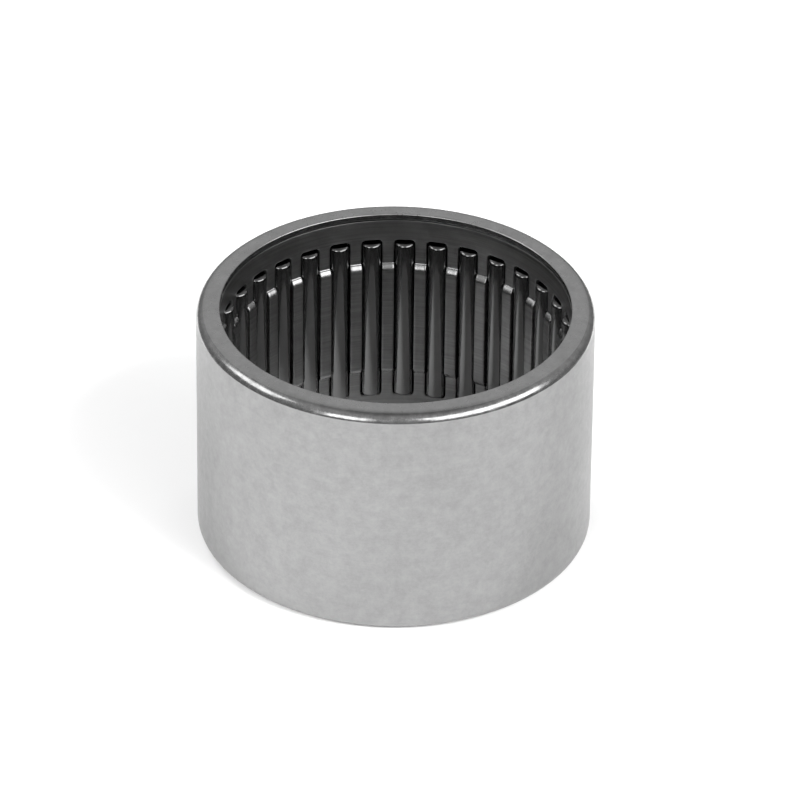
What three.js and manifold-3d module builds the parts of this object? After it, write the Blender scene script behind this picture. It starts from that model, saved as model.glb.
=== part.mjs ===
// A drawn-cup needle roller bearing with open ends, complete with its sheet-steel cage.
// Units are millimetres. +Z runs up the bearing's axis, and the origin is the middle of the bottom face.
// The cup is one drawn shell, the cage one pierced ring of bars, and every needle is loose in its pocket.
import * as THREE from "three";
import { mergeVertices } from "three/addons/utils/BufferGeometryUtils.js";
import Module from "manifold-3d";

const wasm = await Module();
wasm.setup();

// Boundary dimensions
const CUP_R = 23.5;
const SHAFT_R = 20;
const CUP_HEIGHT = 30;

// Needles
const ROLLER_COUNT = 33;
const ROLLER_R = 1.25;
const ROLLER_LENGTH = 21.8;
const END_FLAT_R = 0.85;
const END_FLAT_DROP = 0.06;
const END_CORNER = 0.4;
const PITCH_R = SHAFT_R + ROLLER_R;
const RUNNING_GAP = 0.03;

// Cup: a thin wall with an inward lip at each end. The curled upper lip is thinner than the drawn lower one.
// The upper corner starts at this slope, in radians, so it meets the ground wall at a slight edge.
const RACEWAY_R = PITCH_R + ROLLER_R + RUNNING_GAP;
const LIP_BORE_R = 20.7;
const TOP_LIP = 0.75;
const BOTTOM_LIP = 1.3;
const TOP_CORNER_R = 1.4;
const TOP_CORNER_START = 0.21;
const BOTTOM_CORNER_R = 1.2;
const LIP_EDGE_R = 0.15;
const INNER_FILLET_R = 0.4;

// Cage: its end rings lie at a larger radius than the middle of its bars.
const CAGE_SHEET = 0.65;
const CAGE_RING_R = LIP_BORE_R;
const CAGE_WAIST_R = 20.2;
const CAGE_TOP_GAP = 0.15;
const CAGE_TOP = CUP_HEIGHT - TOP_LIP - CAGE_TOP_GAP;
const CAGE_LENGTH = 27.62;
const CAGE_MID = CAGE_TOP - CAGE_LENGTH / 2;
const WAIST_HALF = 7.22;
const SHOULDER_RISE = 0.7;

// Pockets: wider beside the needle's axis than at the waist, which keeps the needle from falling inwards.
// Each needle has settled to the lower end of its pocket.
const POCKET_LENGTH = 22.2;
const POCKET_END_HALF = 1.29;
const POCKET_WAIST_HALF = 1.22;
const POCKET_CORNER_R = 0.5;
const NEEDLE_SETTLE = 0.14;
const CUTTER_INNER_R = 19;
const CUTTER_DEPTH = 4;

// Facets around the axis
const CUP_FACETS = 96;
const CAGE_FACETS = 2 * ROLLER_COUNT;
const ROLLER_FACETS = 16;

const QUARTER = Math.PI / 2;
const PITCH_ANGLE = (2 * Math.PI) / ROLLER_COUNT;

function steel(name, color, roughness) {
  return new THREE.MeshStandardMaterial({ name, color, roughness, metalness: 1 });
}

// Points along an arc in the radius-height plane, from one angle to another.
function arc(r, z, radius, from, to, steps) {
  return Array.from({ length: steps + 1 }, (_, i) => {
    const a = from + ((to - from) * i) / steps;
    return new THREE.Vector2(r + radius * Math.cos(a), z + radius * Math.sin(a));
  });
}

// A profile in the radius-height plane turned around +Z.
function turned(profile, facets) {
  return new THREE.LatheGeometry(profile, facets).rotateX(QUARTER);
}

function topCorner() {
  const r = CUP_R - TOP_CORNER_R * Math.cos(TOP_CORNER_START);
  return arc(r, CUP_HEIGHT - TOP_CORNER_R, TOP_CORNER_R, TOP_CORNER_START, QUARTER, 3);
}

function cupGeometry() {
  const edge = LIP_BORE_R + LIP_EDGE_R;
  const fillet = RACEWAY_R - INNER_FILLET_R;
  const roof = CUP_HEIGHT - TOP_LIP;
  const profile = [
    ...arc(edge, LIP_EDGE_R, LIP_EDGE_R, 2 * QUARTER, 3 * QUARTER, 2),
    ...arc(CUP_R - BOTTOM_CORNER_R, BOTTOM_CORNER_R, BOTTOM_CORNER_R, -QUARTER, 0, 3),
    ...topCorner(),
    ...arc(edge, CUP_HEIGHT - LIP_EDGE_R, LIP_EDGE_R, QUARTER, 2 * QUARTER, 2),
    new THREE.Vector2(LIP_BORE_R, roof),
    ...arc(fillet, roof - INNER_FILLET_R, INNER_FILLET_R, QUARTER, 0, 1),
    ...arc(fillet, BOTTOM_LIP + INNER_FILLET_R, INNER_FILLET_R, 0, -QUARTER, 1),
    new THREE.Vector2(LIP_BORE_R, BOTTOM_LIP),
  ];
  return turned([...profile, profile[0]], CUP_FACETS);
}

function rollerGeometry() {
  const half = ROLLER_LENGTH / 2;
  const profile = [
    [0, -half],
    [END_FLAT_R, END_FLAT_DROP - half],
    [ROLLER_R, END_CORNER - half],
    [ROLLER_R, half - END_CORNER],
    [END_FLAT_R, half - END_FLAT_DROP],
    [0, half],
  ].map(([r, z]) => new THREE.Vector2(r, z));
  return turned(profile, ROLLER_FACETS);
}

// The cage before its pockets are pierced, with its mid-height at zero.
function cageBlank() {
  const half = CAGE_LENGTH / 2;
  const shoulder = WAIST_HALF + SHOULDER_RISE;
  const line = [
    [CAGE_RING_R, -half],
    [CAGE_RING_R, -shoulder],
    [CAGE_WAIST_R, -WAIST_HALF],
    [CAGE_WAIST_R, WAIST_HALF],
    [CAGE_RING_R, shoulder],
    [CAGE_RING_R, half],
  ];
  const inner = line.map(([r, z]) => new THREE.Vector2(r, z));
  const outer = line.map(([r, z]) => new THREE.Vector2(r + CAGE_SHEET, z));
  return turned([...outer, ...inner.reverse(), outer[0]], CAGE_FACETS);
}

// A pocket's outline: rounded at its four corners and narrower along the waist.
function pocketOutline() {
  const wide = POCKET_END_HALF - POCKET_CORNER_R;
  const high = POCKET_LENGTH / 2 - POCKET_CORNER_R;
  const shoulder = WAIST_HALF + SHOULDER_RISE;
  const corner = (sx, sz, from) => arc(sx * wide, sz * high, POCKET_CORNER_R, from, from + QUARTER, 2);
  const side = (sx, sz) => [
    new THREE.Vector2(sx * POCKET_END_HALF, sz * shoulder),
    new THREE.Vector2(sx * POCKET_WAIST_HALF, sz * WAIST_HALF),
  ];
  return new THREE.Shape([
    ...corner(1, -1, -QUARTER),
    ...side(1, -1),
    ...side(1, 1).reverse(),
    ...corner(1, 1, 0),
    ...corner(-1, 1, QUARTER),
    ...side(-1, 1),
    ...side(-1, -1).reverse(),
    ...corner(-1, -1, 2 * QUARTER),
  ]);
}

// The punch for one pocket, pointing along +X: the outline's width lies along Y and its length along Z.
function pocketCutter(index) {
  const cutter = new THREE.ExtrudeGeometry(pocketOutline(), { depth: CUTTER_DEPTH, bevelEnabled: false });
  cutter.rotateX(QUARTER).rotateZ(QUARTER);
  cutter.translate(CUTTER_INNER_R, 0, 0);
  return cutter.rotateZ(index * PITCH_ANGLE);
}

function toSolid(geometry) {
  geometry.deleteAttribute("normal");
  geometry.deleteAttribute("uv");
  const merged = mergeVertices(geometry, 1e-4);
  const vertProperties = merged.attributes.position.array;
  const triVerts = new Uint32Array(merged.index.array);
  return new wasm.Manifold(new wasm.Mesh({ numProp: 3, vertProperties, triVerts }));
}

function fromSolid(solid) {
  const mesh = solid.getMesh();
  const geometry = new THREE.BufferGeometry();
  geometry.setAttribute("position", new THREE.BufferAttribute(mesh.vertProperties, 3));
  geometry.setIndex(new THREE.BufferAttribute(mesh.triVerts, 1));
  geometry.computeVertexNormals();
  return geometry;
}

function cageGeometry() {
  let cage = toSolid(cageBlank());
  for (let i = 0; i < ROLLER_COUNT; i += 1) {
    cage = cage.subtract(toSolid(pocketCutter(i)));
  }
  return fromSolid(cage);
}

function named(name, geometry, material) {
  const mesh = new THREE.Mesh(geometry, material);
  mesh.name = name;
  return mesh;
}

const bearing = new THREE.Group();
bearing.add(named("outer_cup", cupGeometry(), steel("cup_steel", 0xb9b9b9, 0.35)));

const cage = named("cage", cageGeometry(), steel("cage_steel", 0x6e6e6e, 0.45));
cage.position.z = CAGE_MID;
bearing.add(cage);

const needle = rollerGeometry();
for (let i = 0; i < ROLLER_COUNT; i += 1) {
  const name = `roller_${String(i + 1).padStart(2, "0")}`;
  const roller = named(name, needle, steel("roller_steel", 0x8c8c8c, 0.15));
  const angle = i * PITCH_ANGLE;
  roller.position.set(PITCH_R * Math.cos(angle), PITCH_R * Math.sin(angle), CAGE_MID - NEEDLE_SETTLE);
  roller.rotation.z = angle;
  bearing.add(roller);
}

export default bearing;
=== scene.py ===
"""Looks of the drawn-cup needle roller bearing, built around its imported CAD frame.

The cup, the cage and every needle are fine meshes made in code, in the places and sizes of their CAD nodes.
Lengths in the shape functions are millimetres, and everything in Blender is metres.
"""

import math

import bmesh
import bpy
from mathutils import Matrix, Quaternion, Vector


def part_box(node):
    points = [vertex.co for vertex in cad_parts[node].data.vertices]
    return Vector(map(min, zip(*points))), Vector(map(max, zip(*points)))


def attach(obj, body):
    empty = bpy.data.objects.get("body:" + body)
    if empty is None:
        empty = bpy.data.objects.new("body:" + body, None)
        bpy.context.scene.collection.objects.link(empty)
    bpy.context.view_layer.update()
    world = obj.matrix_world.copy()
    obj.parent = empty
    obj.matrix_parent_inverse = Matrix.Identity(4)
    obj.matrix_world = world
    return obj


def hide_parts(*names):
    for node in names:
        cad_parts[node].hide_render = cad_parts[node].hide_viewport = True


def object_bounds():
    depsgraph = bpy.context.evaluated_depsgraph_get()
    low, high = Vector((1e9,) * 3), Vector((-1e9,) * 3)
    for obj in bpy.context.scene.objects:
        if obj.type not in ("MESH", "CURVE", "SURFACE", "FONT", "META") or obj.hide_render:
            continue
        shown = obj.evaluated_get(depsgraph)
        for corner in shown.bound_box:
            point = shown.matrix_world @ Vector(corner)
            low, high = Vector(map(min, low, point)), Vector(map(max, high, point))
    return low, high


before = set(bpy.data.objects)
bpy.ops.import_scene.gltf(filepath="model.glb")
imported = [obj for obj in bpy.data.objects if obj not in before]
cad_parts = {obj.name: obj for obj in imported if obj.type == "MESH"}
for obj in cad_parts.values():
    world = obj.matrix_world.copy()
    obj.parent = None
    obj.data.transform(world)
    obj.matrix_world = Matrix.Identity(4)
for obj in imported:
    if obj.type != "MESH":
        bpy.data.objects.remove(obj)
cad_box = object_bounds()

MM = 0.001

# Places and sizes, read from the frame
cup_low, cup_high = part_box("outer_cup")
cage_low, cage_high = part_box("cage")
NEEDLES = sorted(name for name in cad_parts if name.startswith("roller_"))
first_low, first_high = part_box(NEEDLES[0])
CUP_R = (cup_high.x - cup_low.x) / 2 / MM
CUP_TOP = cup_high.z / MM
CAGE_MID = (cage_low.z + cage_high.z) / 2 / MM
CAGE_HALF = (cage_high.z - cage_low.z) / 2 / MM
NEEDLE_R = (first_high.x - first_low.x) / 2 / MM
NEEDLE_HALF = (first_high.z - first_low.z) / 2 / MM

# Cup section
RACEWAY_R = 22.53
LIP_BORE_R = 20.7
TOP_LIP = 0.75
BOTTOM_LIP = 1.3
TOP_CORNER = 1.4
BOTTOM_CORNER = 1.2
LIP_EDGE = 0.15
INNER_FILLET = 0.4
ROOF_EDGE = 0.08
CUP_SEGMENTS = 288
# The upper corner starts at this slope, in degrees, so it meets the ground wall at a slight edge
TOP_CORNER_START = 12
# Depth below the top face down to which its finish runs over the corner
FACE_BLEND = 0.12

# Cage section and pockets
SHEET = 0.65
RING_R = 20.7
WAIST_R = 20.2
WAIST_HALF = 7.22
SHOULDER_RISE = 0.7
# The shoulder's ramp, its coined ledge and a last small step: start and end above the waist, and slope
SHOULDER = ((0, 0.5, 0.66), (0.5, 0.56, 1.8), (0.56, 0.66, 0.62))
# Half the height of the soft bend from the waist into the ramp
BEND = 0.35
POCKET_HALF_LENGTH = 11.1
POCKET_END_HALF = 1.29
POCKET_WAIST_HALF = 1.22
POCKET_CORNER = 0.5
# The mesh round each pocket reaches this far up and down, and plain end rings close it
RECT_HALF_LENGTH = POCKET_HALF_LENGTH + 0.6
END_EDGE = 0.04
# The sheet's edge rolls over by this much round a pocket, within this share of the way to the rectangle
ROLL = 0.06
ROLL_SHARE = 0.13
PITCH_HALF = math.pi / len(NEEDLES)

# Needle ends: nearly flat, with a rounded corner
END_CORNER = 0.4
END_DOME = 0.06
NEEDLE_SIDES = 40

# Angles above which shading breaks into an edge, in degrees
SHARP_ANGLE = 35
CUP_SHARP_ANGLE = 10

# Light: name, azimuth, elevation, width and height in metres, and power in watts
SOFTBOX_DISTANCE = 0.9
SOFTBOXES = (
    ("key_right", 53, 27, 1.12, 0.48, 4.8),
    ("fill_front", -26, 20, 0.34, 0.36, 1.1),
    ("fill_left", -90, 35, 0.56, 0.38, 1.4),
)
# Lights that whiten the floor and don't show in the steel: azimuth, elevation and power
FLOOR_LIGHT_DISTANCE = 2.5
FLOOR_LIGHT_SIZE = (0.75, 0.5)
FLOOR_LIGHTS = ((50, 47, 31), (60, 30, 14), (-75, 28, 38), (-150, 28, 19), (150, 28, 4), (-20, 28, 6))
LIGHT_AIM_HEIGHT = 0.02
# The room's brightness from the horizon (0) to straight up (1), and its share left at the far sides
ROOM_LEVELS = (
    (0.0, 0.28), (0.17, 0.34), (0.34, 0.44), (0.55, 0.48),
    (0.86, 0.45), (0.95, 0.28), (1.0, 0.19),
)
ROOM_SIDE_SHARE = 0.75

# Camera: angles in degrees, distance and drop of its aim below the top in cup radii, lens in mm
CAMERA_ELEVATION = 33.29
CAMERA_ROLL = 0.6
CAMERA_DISTANCE = 34
CAMERA_AIM_DROP = 0.65
CAMERA_LENS = 302.7
CAMERA_SHIFT_X = 0.006625
CAMERA_SHIFT_Y = 0.018875


def add_object(name, points, faces, sharp_angle=SHARP_ANGLE):
    """A smooth-shaded mesh object from points in millimetres."""
    mesh = bpy.data.meshes.new(name)
    mesh.from_pydata([tuple(c * MM for c in p) for p in points], [], faces)
    mesh.validate()
    mesh.polygons.foreach_set("use_smooth", [True] * len(mesh.polygons))
    mesh.set_sharp_from_angle(angle=math.radians(sharp_angle))
    obj = bpy.data.objects.new(name, mesh)
    bpy.context.scene.collection.objects.link(obj)
    return obj


def arc(r, z, radius, start, end, steps):
    """Points along an arc in the radius-height plane, with angles in degrees."""
    angles = [math.radians(start + (end - start) * i / steps) for i in range(steps + 1)]
    return [(r + radius * math.cos(a), z + radius * math.sin(a)) for a in angles]


def spaced(start, end, steps):
    """Points between two profile points, without the ends."""
    return [
        (start[0] + (end[0] - start[0]) * i / steps, start[1] + (end[1] - start[1]) * i / steps)
        for i in range(1, steps)
    ]


def ring_mesh(profile, segments):
    """A closed profile turned into a ring."""
    points = []
    for j in range(segments):
        a = 2 * math.pi * j / segments
        points += [(r * math.cos(a), r * math.sin(a), z) for r, z in profile]
    n = len(profile)
    faces = []
    for j in range(segments):
        here, there = j * n, ((j + 1) % segments) * n
        faces += [(here + i, there + i, there + (i + 1) % n, here + (i + 1) % n) for i in range(n)]
    return points, faces


def cup_profile():
    """The cup's closed section, from the lower lip's bore outward, up, and back down the inside."""
    edge = LIP_BORE_R + LIP_EDGE
    fillet = RACEWAY_R - INNER_FILLET
    roof = CUP_TOP - TOP_LIP
    bottom = arc(edge, LIP_EDGE, LIP_EDGE, 180, 270, 12)
    outer_low = arc(CUP_R - BOTTOM_CORNER, BOTTOM_CORNER, BOTTOM_CORNER, -90, 0, 12)
    corner_r = CUP_R - TOP_CORNER * math.cos(math.radians(TOP_CORNER_START))
    outer_high = arc(corner_r, CUP_TOP - TOP_CORNER, TOP_CORNER, TOP_CORNER_START, 90, 16)
    top = arc(edge, CUP_TOP - LIP_EDGE, LIP_EDGE, 90, 180, 12)
    return [
        *bottom,
        *spaced(bottom[-1], outer_low[0], 2),
        *outer_low,
        *spaced(outer_low[-1], outer_high[0], 10),
        *outer_high,
        *spaced(outer_high[-1], top[0], 3),
        *top,
        *arc(LIP_BORE_R + ROOF_EDGE, roof + ROOF_EDGE, ROOF_EDGE, 180, 270, 3),
        *arc(fillet, roof - INNER_FILLET, INNER_FILLET, 90, 0, 5),
        *spaced((RACEWAY_R, roof - INNER_FILLET), (RACEWAY_R, BOTTOM_LIP + INNER_FILLET), 6),
        *arc(fillet, BOTTOM_LIP + INNER_FILLET, INNER_FILLET, 0, -90, 5),
        *arc(LIP_BORE_R + ROOF_EDGE, BOTTOM_LIP - ROOF_EDGE, ROOF_EDGE, 90, 180, 3),
    ]


def cup_finish_and_shade(radius, z):
    """Which of the cup's materials a point has: 0 the ground wall, whose darker tone is painted shade, 1
    the flat face, 2 the rest of its skin.
    """
    if radius > CUP_R - (BOTTOM_CORNER if z < BOTTOM_CORNER else 0.01):
        return 0
    if CUP_TOP - z < FACE_BLEND or z < 0.001:
        return 1
    return 2


def make_cup():
    points, faces = ring_mesh(cup_profile(), CUP_SEGMENTS)
    cup = add_object("cup_shell", points, faces, CUP_SHARP_ANGLE)
    for polygon in cup.data.polygons:
        x, y, z = polygon.center / MM
        polygon.material_index = cup_finish_and_shade(math.hypot(x, y), z)
    return cup


def shoulder_step(height):
    """0 at the waist to 1 at the end rings, along a straight ramp."""
    return min(max((abs(height) - WAIST_HALF) / SHOULDER_RISE, 0), 1)


def inner_radius(height):
    """The cage's inner radius: the waist, a soft bend into the shoulder, and the end ring."""
    above = abs(height) - WAIST_HALF
    if above < BEND:
        return WAIST_R + SHOULDER[0][2] * max(above + BEND, 0) ** 2 / (4 * BEND)
    rise = sum(slope * min(max(above - start, 0), end - start) for start, end, slope in SHOULDER)
    return min(WAIST_R + rise, RING_R)


def pocket_half_width(height):
    return POCKET_WAIST_HALF + (POCKET_END_HALF - POCKET_WAIST_HALF) * shoulder_step(height)


def pocket_quadrant():
    """Pairs of points from the middle of a pocket's side to the middle of its end.

    The first of each pair is on the pocket's edge, as (width, height). The second is on the rectangle of
    sheet round the pocket, as (share of the way to the bar's centre line, height).
    """
    wide = POCKET_END_HALF - POCKET_CORNER
    high = POCKET_HALF_LENGTH - POCKET_CORNER
    heights = [0, 2, 4, 5.5, 6.5] + [WAIST_HALF + BEND * (k / 4 - 1) for k in range(9)]
    heights += [WAIST_HALF + rise for rise in (0.43, 0.48, 0.5, 0.53, 0.56, 0.58, 0.62, 0.66, 0.68, 0.72)]
    heights += [8.3, 9, 9.7, high]
    pairs = [((pocket_half_width(h), h), (1, h)) for h in heights]
    corner = arc(wide, high, POCKET_CORNER, 0, 90, 6)[1:]
    rise = RECT_HALF_LENGTH - high
    around = [(1, high + rise / 3), (1, high + 2 * rise / 3), (1, RECT_HALF_LENGTH)]
    around += [(share, RECT_HALF_LENGTH) for share in (0.86, 0.72, 0.6)]
    pairs += list(zip(corner, around))
    for k in range(1, 6):
        pairs.append(((wide * (1 - k / 5), POCKET_HALF_LENGTH), (0.6 * (1 - k / 5), RECT_HALF_LENGTH)))
    return pairs


def mirrored(pairs, sx, sz):
    return [((sx * a, sz * b), (sx * c, sz * d)) for (a, b), (c, d) in pairs]


def pocket_loop():
    """The quadrant's pairs all the way round a pocket."""
    q = pocket_quadrant()
    back = q[-2::-1]
    return q + mirrored(back, -1, 1) + mirrored(q[1:], -1, -1) + mirrored(back[:-1], 1, -1)


def at(radius, angle, height):
    return (radius * math.cos(angle), radius * math.sin(angle), height)


def pocket_surface(loop, outside):
    """Rows of points from the pocket's rolled edge out to its rectangle, inside or outside the sheet."""
    rows = []
    for t in (0, 0.03, 0.07, ROLL_SHARE, 0.45, 1):
        roll = ROLL * max(1 - t / ROLL_SHARE, 0) ** 2
        row = []
        for (y, z0), (share, z1) in loop:
            z = z0 + (z1 - z0) * t
            r = inner_radius(z)
            r = r + SHEET - roll if outside else r + roll
            edge_angle = math.asin(y / r)
            row.append(at(r, edge_angle + (share * PITCH_HALF - edge_angle) * t, z))
        rows.append(row)
    return rows


def end_ring(loop, up):
    """Rows of points over one end of the cage, from the inner face round the end to the outer face."""
    shares = sorted({round(s, 6) for _, (s, z) in loop if abs(z - RECT_HALF_LENGTH) < 1e-9})
    inner, outer = RING_R, RING_R + SHEET
    edge = CAGE_HALF - END_EDGE
    path = [(inner, RECT_HALF_LENGTH), (inner, (RECT_HALF_LENGTH + edge) / 2)]
    path += arc(inner + END_EDGE, edge, END_EDGE, 180, 90, 4)
    path += arc(outer - END_EDGE, edge, END_EDGE, 90, 0, 4)
    path += [(outer, (RECT_HALF_LENGTH + edge) / 2), (outer, RECT_HALF_LENGTH)]
    return [[at(r, s * PITCH_HALF, up * z) for s in shares] for r, z in path]


def add_grid(points, faces, rows, closed):
    start, n = len(points), len(rows[0])
    for row in rows:
        points += row
    for i in range(len(rows) - 1):
        for j in range(n if closed else n - 1):
            a, b = start + i * n + j, start + i * n + (j + 1) % n
            faces.append((a, b, b + n, a + n))


def turned(point, angle):
    x, y, z = point
    return (x * math.cos(angle) - y * math.sin(angle), x * math.sin(angle) + y * math.cos(angle), z)


def welded(obj):
    """Joins points that meet, and turns every face outward."""
    mesh = bmesh.new()
    mesh.from_mesh(obj.data)
    bmesh.ops.remove_doubles(mesh, verts=mesh.verts, dist=2e-6)
    bmesh.ops.recalc_face_normals(mesh, faces=mesh.faces)
    mesh.to_mesh(obj.data)
    mesh.free()
    obj.data.set_sharp_from_angle(angle=math.radians(SHARP_ANGLE))
    return obj


def make_cage():
    """The cage, with its sheet finish (0) and its shoulders (1), coined smoother and toned lighter as a
    painted highlight.
    """
    loop = pocket_loop()
    inside, outside = pocket_surface(loop, False), pocket_surface(loop, True)
    patches = [(inside, True), (outside, True), ([inside[0], outside[0]], True)]
    patches += [(end_ring(loop, up), False) for up in (1, -1)]
    points, faces = [], []
    for i in range(len(NEEDLES)):
        for rows, closed in patches:
            moved = [[turned(p, 2 * i * PITCH_HALF) for p in row] for row in rows]
            add_grid(points, faces, moved, closed)
    points = [(x, y, z + CAGE_MID) for x, y, z in points]
    cage = welded(add_object("cage_ring", points, faces))
    for polygon in cage.data.polygons:
        # The shoulder band takes the lighter steel, a painted highlight on the bends that catch the key
        # light.
        above = abs(polygon.center.z / MM - CAGE_MID) - WAIST_HALF
        polygon.material_index = 1 if -0.1 < above < SHOULDER_RISE else 0
    return cage


def needle_profile():
    """From the middle of the lower end to the middle of the upper end."""
    flat = NEEDLE_R - END_CORNER
    crown = [(flat * k / 4, NEEDLE_HALF - END_DOME * (k / 4) ** 2) for k in range(4)]
    crown += arc(flat, NEEDLE_HALF - END_DOME - END_CORNER, END_CORNER, 82, 0, 9)
    lower = [(r, -z) for r, z in crown]
    middle = spaced(lower[-1], crown[-1], 6)
    return lower + middle + crown[::-1]


def make_needle(node):
    """A needle standing where its CAD node stands, with its polished side (0) and its tips (1), toned
    darker as painted shade.
    """
    profile, sides = needle_profile(), NEEDLE_SIDES
    points = [(0, 0, profile[0][1]), (0, 0, profile[-1][1])]
    for r, z in profile[1:-1]:
        points += [at(r, 2 * math.pi * j / sides, z) for j in range(sides)]
    faces = []
    last = len(points) - sides
    for j in range(sides):
        k = (j + 1) % sides
        faces.append((0, 2 + k, 2 + j))
        faces.append((1, last + j, last + k))
        for row in range(2, last, sides):
            faces.append((row + j, row + k, row + k + sides, row + j + sides))
    needle = add_object(node.replace("roller", "needle"), points, faces)
    for polygon in needle.data.polygons:
        on_end = abs(polygon.center.z) > (NEEDLE_HALF - END_DOME - END_CORNER) * MM
        polygon.material_index = 1 if on_end else 0
    low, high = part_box(node)
    needle.location = (low + high) / 2
    return needle


# Materials

def node_tree(name):
    material = bpy.data.materials.new(name)
    material.use_nodes = True
    return material, material.node_tree.nodes, material.node_tree.links


def noise(nodes, links, scale, detail, stretch=(1, 1, 1), offset=(0, 0, 0)):
    """Noise on the piece's own coordinates, in metres, from 0 to 1."""
    place = nodes.new("ShaderNodeTexCoord")
    mapping = nodes.new("ShaderNodeMapping")
    mapping.inputs["Scale"].default_value = stretch
    mapping.inputs["Location"].default_value = offset
    texture = nodes.new("ShaderNodeTexNoise")
    texture.inputs["Scale"].default_value = scale
    texture.inputs["Detail"].default_value = detail
    texture.inputs["Roughness"].default_value = 0.8
    links.new(place.outputs["Object"], mapping.inputs["Vector"])
    links.new(mapping.outputs["Vector"], texture.inputs["Vector"])
    return texture.outputs["Fac"]


def ranged(nodes, links, source, low, high, start=0.35, end=0.65):
    """The noise's middle range mapped to low..high."""
    span = nodes.new("ShaderNodeMapRange")
    span.inputs["From Min"].default_value = start
    span.inputs["From Max"].default_value = end
    span.inputs["To Min"].default_value = low
    span.inputs["To Max"].default_value = high
    links.new(source, span.inputs["Value"])
    return span.outputs["Result"]


def combined(nodes, links, operation, a, b):
    math_node = nodes.new("ShaderNodeMath")
    math_node.operation = operation
    links.new(a, math_node.inputs[0])
    links.new(b, math_node.inputs[1])
    return math_node.outputs["Value"]


def grey(nodes, links, value, shader):
    """A single value used as a grey base colour."""
    join = nodes.new("ShaderNodeCombineColor")
    for channel in ("Red", "Green", "Blue"):
        links.new(value, join.inputs[channel])
    links.new(join.outputs["Color"], shader.inputs["Base Color"])


def bump(nodes, links, source, height, shader):
    node = nodes.new("ShaderNodeBump")
    node.inputs["Strength"].default_value = 1
    node.inputs["Distance"].default_value = height
    links.new(source, node.inputs["Height"])
    links.new(node.outputs["Normal"], shader.inputs["Normal"])


def steel(name, tone, rough, clouds, lines, depth):
    """Bare steel: clouds in tone and roughness, with grinding or rolling lines over them.

    Clouds are (scale, tone spread, roughness spread), lines are (scale, stretch, tone spread), and depth
    is how deep the lines are cut, in metres.
    """
    material, nodes, links = node_tree(name)
    shader = nodes["Principled BSDF"]
    shader.inputs["Metallic"].default_value = 1
    cloud_scale, cloud_spread, rough_spread = clouds
    line_scale, stretch, line_spread = lines
    cloud = noise(nodes, links, cloud_scale, 8)
    line = noise(nodes, links, line_scale, 3, stretch, (0.3, 0.1, 0.2))
    soft = ranged(nodes, links, cloud, tone * (1 - cloud_spread), tone * (1 + cloud_spread))
    fine = ranged(nodes, links, line, 1 - line_spread, 1 + line_spread)
    grey(nodes, links, combined(nodes, links, "MULTIPLY", soft, fine), shader)
    patches = noise(nodes, links, cloud_scale * 2.3, 3, offset=(0.7, 0.4, 0.5))
    gloss = ranged(nodes, links, patches, rough - rough_spread, rough + rough_spread)
    links.new(gloss, shader.inputs["Roughness"])
    bump(nodes, links, line, depth, shader)
    return material


def finish_piece(obj, node, body, slot, *materials):
    for material in materials:
        obj.data.materials.append(material)
    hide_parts(node)
    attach(obj, body)


# The wall's steel is toned darker than the face's. This is painted shade that offsets the overbright floor
# it reflects. Its grinding lines are real.
wall_shaded_steel = steel("cup_wall_shaded_steel", 0.33, 0.34, (600, 0.10, 0.04), (60, (1, 1, 120), 0.015), 2e-6)
face_steel = steel("cup_face_steel", 0.50, 0.30, (400, 0.10, 0.04), (900, (1, 1, 1), 0.05), 1e-6)
edge_steel = steel("cup_edge_steel", 0.40, 0.20, (400, 0.12, 0.07), (900, (1, 1, 1), 0.15), 5e-6)
cage_steel = steel("cage_sheet_steel", 0.35, 0.33, (250, 0.08, 0.04), (60, (1, 1, 60), 0.16), 1e-6)
# The shoulders' steel is smoother. Its lighter tone is a painted highlight.
coined_highlight_steel = steel("cage_coined_highlight_steel", 0.41, 0.27, (250, 0.03, 0.02), (60, (1, 1, 40), 0.03), 5e-7)
needle_steel = steel("needle_polished_steel", 0.32, 0.11, (300, 0.03, 0.02), (200, (30, 30, 1), 0.02), 3e-7)
# The tips' steel is rougher. Its darker tone is painted shade that dims their highlights.
tip_shaded_steel = steel("needle_tip_shaded_steel", 0.22, 0.13, (300, 0.05, 0.02), (900, (1, 1, 1), 0.05), 1e-6)

finish_piece(make_cup(), "outer_cup", "cup", "cup_steel", wall_shaded_steel, face_steel, edge_steel)
finish_piece(make_cage(), "cage", "cage", "cage_steel", cage_steel, coined_highlight_steel)
for needle_node in NEEDLES:
    needle = make_needle(needle_node)
    finish_piece(needle, needle_node, needle_node, "roller_steel", needle_steel, tip_shaded_steel)


# Stage: floor, light and camera

def make_floor(name, x, y_low, y_high, drop):
    """A pale sheet under the bearing, out to x on both sides and from y_low to y_high."""
    corners = [(-x, y_low, 0), (x, y_low, 0), (x, y_high, 0), (-x, y_high, 0)]
    floor = add_object(name, corners, [(0, 1, 2, 3)])
    floor.data.materials.append(floor_white)
    floor.location.z = cad_box[0].z - drop * MM
    return floor


def softbox(name, azimuth, elevation, distance, size, power):
    """A rectangular light facing the bearing. Azimuth 0 is in front of it and 90 to its right."""
    a, e = math.radians(azimuth), math.radians(elevation)
    way = Vector((math.sin(a) * math.cos(e), -math.cos(a) * math.cos(e), math.sin(e)))
    data = bpy.data.lights.new(name, "AREA")
    data.shape = "RECTANGLE"
    data.size, data.size_y = size
    data.energy = power
    light = bpy.data.objects.new(name, data)
    light.location = way * distance + Vector((0, 0, LIGHT_AIM_HEIGHT))
    light.rotation_mode = "QUATERNION"
    light.rotation_quaternion = way.to_track_quat("Z", "Y")
    bpy.context.scene.collection.objects.link(light)
    return light


def make_lights():
    for name, azimuth, elevation, width, height, power in SOFTBOXES:
        softbox(name, azimuth, elevation, SOFTBOX_DISTANCE, (width, height), power)
    for index, (azimuth, elevation, power) in enumerate(FLOOR_LIGHTS):
        name = f"floor_light_{index}"
        light = softbox(name, azimuth, elevation, FLOOR_LIGHT_DISTANCE, FLOOR_LIGHT_SIZE, power)
        light.visible_glossy = False


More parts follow.
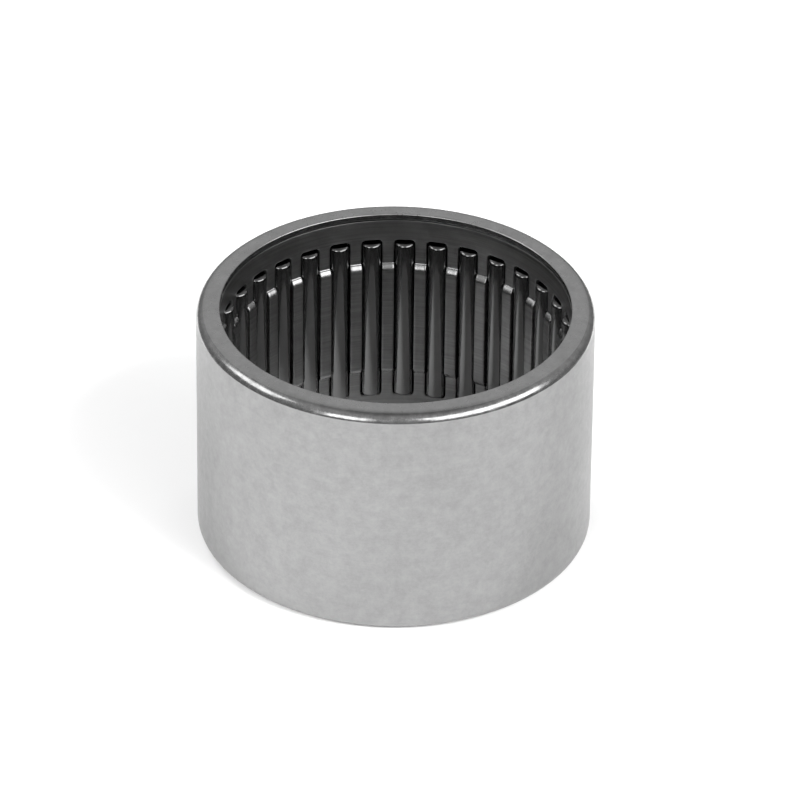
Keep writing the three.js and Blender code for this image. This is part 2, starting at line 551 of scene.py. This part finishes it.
def make_world():
    """A dim studio: darker at the horizon and overhead, brighter at mid height, and darker to the sides."""
    world = bpy.data.worlds.new("studio")
    world.use_nodes = True
    nodes, links = world.node_tree.nodes, world.node_tree.links
    place = nodes.new("ShaderNodeTexCoord")
    parts = nodes.new("ShaderNodeSeparateXYZ")
    ramp = nodes.new("ShaderNodeValToRGB")
    links.new(place.outputs["Generated"], parts.inputs["Vector"])
    links.new(parts.outputs["Z"], ramp.inputs["Fac"])
    links.new(ramp.outputs["Color"], nodes["Background"].inputs["Color"])
    sideways = combined(nodes, links, "MULTIPLY", parts.outputs["X"], parts.outputs["X"])
    strength = ranged(nodes, links, sideways, 1, ROOM_SIDE_SHARE, 0, 1)
    links.new(strength, nodes["Background"].inputs["Strength"])
    for _ in range(len(ROOM_LEVELS) - 2):
        ramp.color_ramp.elements.new(0.5)
    for element, (position, level) in zip(ramp.color_ramp.elements, ROOM_LEVELS):
        element.position = position
        element.color = (level, level, level, 1)
    bpy.context.scene.world = world


def make_camera():
    """A long lens above the front of the floor, with the image's tilt and framing."""
    elevation, roll = math.radians(CAMERA_ELEVATION), math.radians(CAMERA_ROLL)
    back = Vector((0, -math.cos(elevation), math.sin(elevation)))
    target = Vector((0, 0, CUP_TOP * MM - CAMERA_AIM_DROP * CUP_R * MM))
    data = bpy.data.cameras.new("camera")
    data.sensor_width = 36
    data.lens = CAMERA_LENS
    data.shift_x = CAMERA_SHIFT_X
    data.shift_y = CAMERA_SHIFT_Y
    data.clip_start, data.clip_end = 0.01, 100
    camera = bpy.data.objects.new("camera", data)
    camera.location = target + back * (CAMERA_DISTANCE * CUP_R * MM)
    camera.rotation_mode = "QUATERNION"
    camera.rotation_quaternion = (-back).to_track_quat("-Z", "Y") @ Quaternion((0, 0, 1), roll)
    bpy.context.scene.collection.objects.link(camera)
    bpy.context.scene.camera = camera


floor_white, floor_nodes, _ = node_tree("floor_white")
floor_shader = floor_nodes["Principled BSDF"]
floor_shader.inputs["Base Color"].default_value = (0.92, 0.92, 0.92, 1)
floor_shader.inputs["Roughness"].default_value = 0.9
floor_shader.inputs["Specular IOR Level"].default_value = 0.1
make_floor("floor_sheet", 105, -110, 130, 0.05)
# The floor runs on to the horizon, but the steel's reflections see only the sheet
make_floor("floor_room", 9000, -9000, 9000, 0.15).visible_glossy = False
make_world()
make_lights()
make_camera()
bpy.context.scene.view_settings.view_transform = "Standard"
